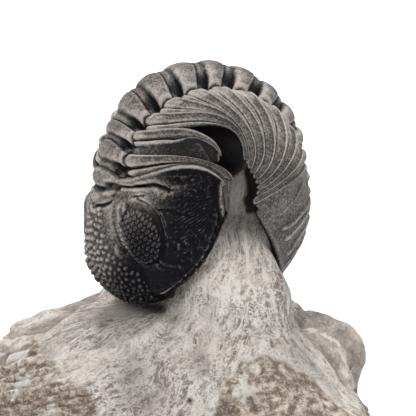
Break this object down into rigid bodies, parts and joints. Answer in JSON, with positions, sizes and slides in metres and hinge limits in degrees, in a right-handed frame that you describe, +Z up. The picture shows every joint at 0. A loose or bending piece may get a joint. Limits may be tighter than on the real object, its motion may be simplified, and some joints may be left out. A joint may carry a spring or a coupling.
{
  "type": "fossil phacopid trilobite",
  "caption": "Fossil trilobite rolled up on a pillar of its limestone: big-eyed warty head, ringed thorax, fan tail, rough base sawn flat below.",
  "frame": {"origin": "centre of the bounding box, on the sawn underside of the rock", "axes": "+Z up out of the sawn underside, +X along the rock's long side, towards the animal's tail and left"},
  "size_m": [0.0594, 0.0496, 0.0521],
  "materials": {
    "fossil_calcite": "satin, dark grey to black calcite with a fine grain",
    "limestone_matrix": "matt, light grey and beige limestone"
  },
  "bodies": {
    "root": {"cephalon": "fossil_calcite", "thoracic_segment_01": "fossil_calcite", "thoracic_segment_02": "fossil_calcite", "thoracic_segment_03": "fossil_calcite", "thoracic_segment_04": "fossil_calcite", "thoracic_segment_05": "fossil_calcite", "thoracic_segment_06": "fossil_calcite", "thoracic_segment_07": "fossil_calcite", "thoracic_segment_08": "fossil_calcite", "thoracic_segment_09": "fossil_calcite", "thoracic_segment_10": "fossil_calcite", "thoracic_segment_11": "fossil_calcite", "pygidium": "fossil_calcite", "matrix": "limestone_matrix"}
  },
  "joints": []
}
